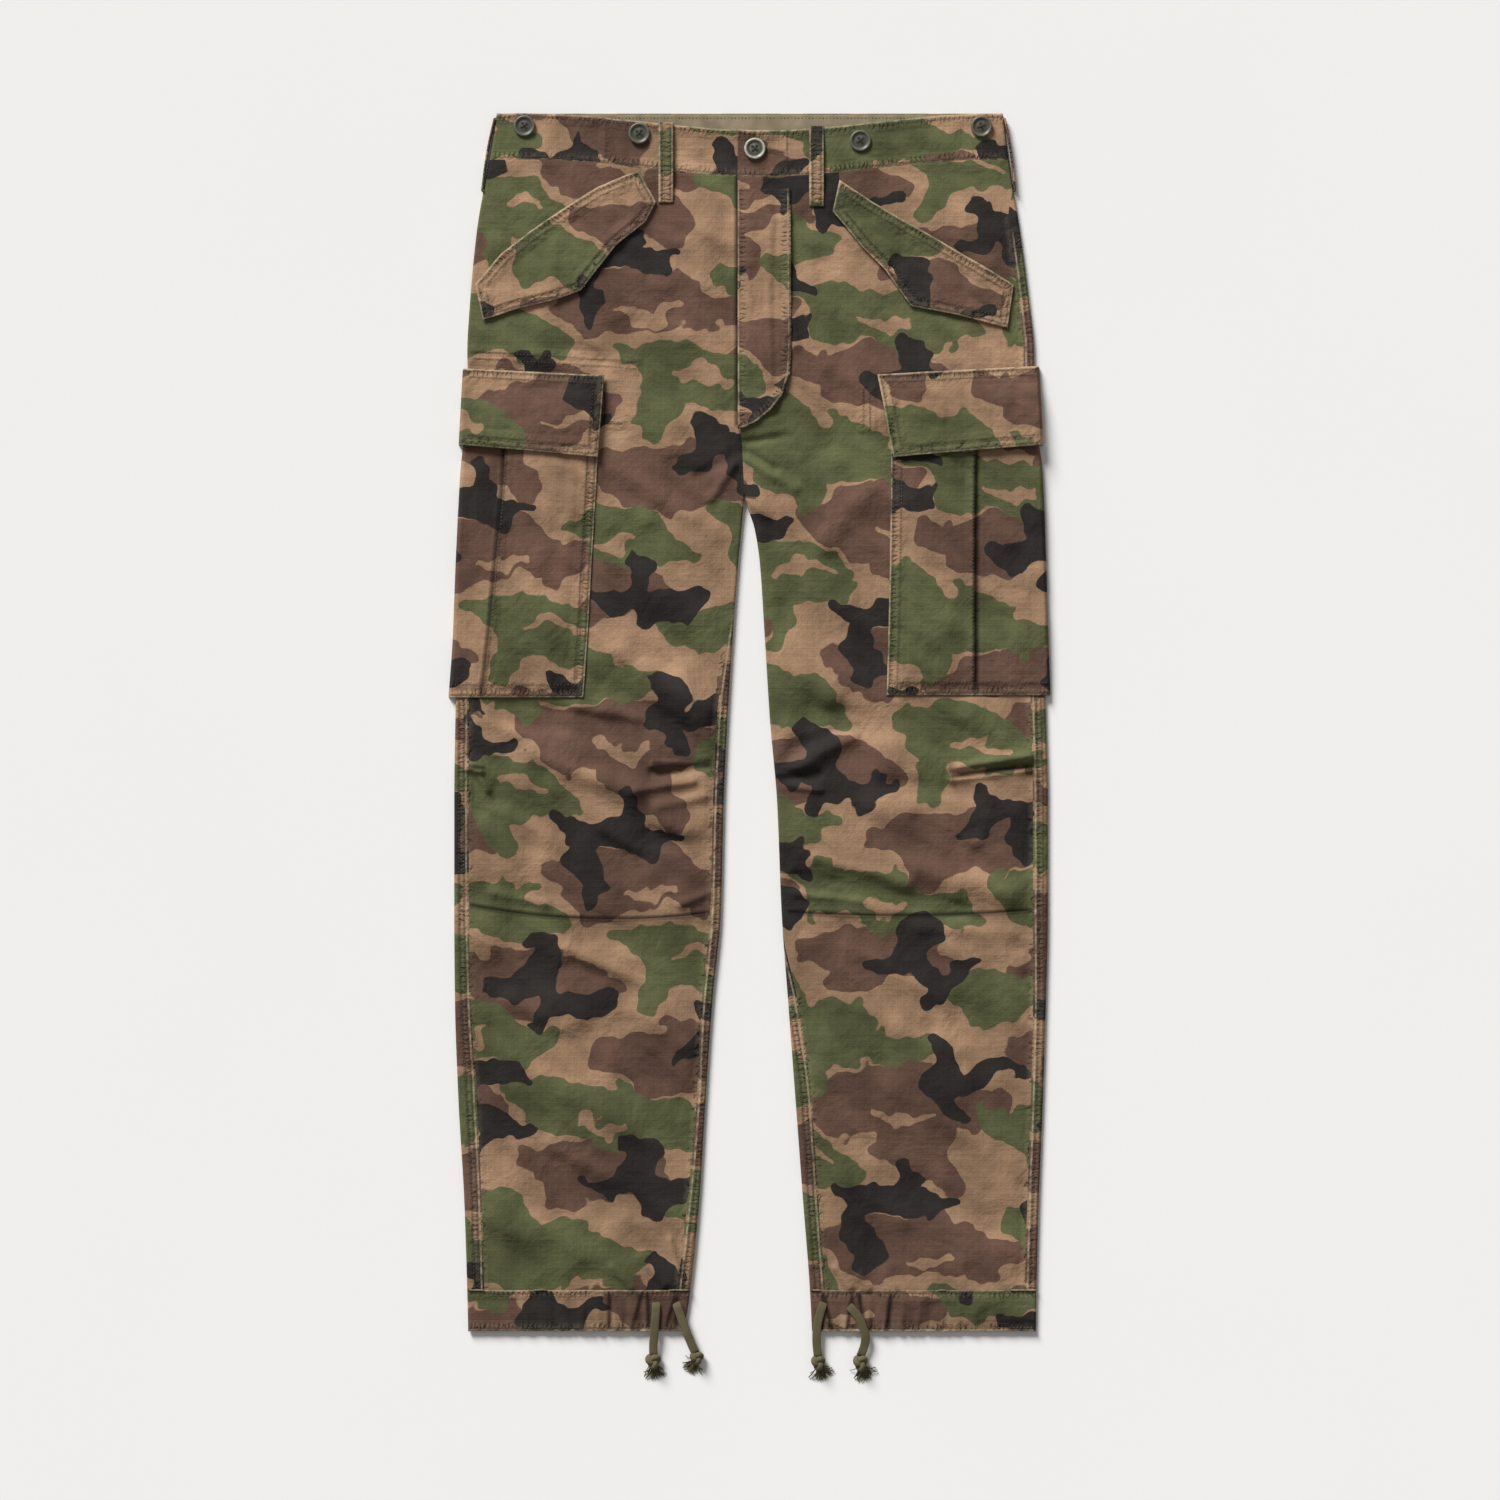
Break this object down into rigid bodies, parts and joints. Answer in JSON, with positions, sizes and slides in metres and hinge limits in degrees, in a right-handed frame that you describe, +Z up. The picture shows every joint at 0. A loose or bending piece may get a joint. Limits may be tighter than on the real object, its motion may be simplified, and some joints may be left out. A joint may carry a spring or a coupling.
{
  "type": "cargo trousers",
  "caption": "Woodland-camouflage cargo trousers laid flat, front up, with thigh pockets, buttoned waist and knotted hem tapes.",
  "frame": {"origin": "on the surface under the middle of the laid trousers, without the tape ends at the hems", "axes": "+Y from the hems to the waist, +Z up out of the trousers' front, +X towards the wearer's left"},
  "size_m": [0.5304, 1.119, 0.0132],
  "materials": {
    "ripstop": "woven cotton ripstop, woodland camouflage, washed",
    "facing": "plain olive cotton twill",
    "tape": "flat woven cotton tape, olive",
    "buttons": "moulded, dark olive"
  },
  "bodies": {
    "root": {"front_panel_right": "ripstop", "front_panel_left": "ripstop", "back_panel_right": "ripstop", "back_panel_left": "ripstop", "waistband_front_right": "ripstop", "waistband_front_left": "ripstop", "waistband_back": "ripstop", "waistband_facing_back": "facing", "fly_placket": "ripstop", "hip_flap_right": "ripstop", "hip_flap_left": "ripstop", "cargo_pocket_right": "ripstop", "cargo_pocket_left": "ripstop", "cargo_flap_right": "ripstop", "cargo_flap_left": "ripstop", "hem_casing_right": "ripstop", "hem_casing_left": "ripstop", "belt_loop_front_right": "ripstop", "belt_loop_front_left": "ripstop", "belt_loop_side_right": "ripstop", "belt_loop_side_left": "ripstop", "button_right_side": "buttons", "button_right_front": "buttons", "button_left_front": "buttons", "button_left_side": "buttons", "button_fly": "buttons", "drawstring_right_front": "tape", "drawstring_right_back": "tape", "drawstring_left_back": "tape", "drawstring_left_front": "tape", "drawstring_knot_right_front": "tape", "drawstring_knot_right_back": "tape", "drawstring_knot_left_back": "tape", "drawstring_knot_left_front": "tape"}
  },
  "joints": []
}
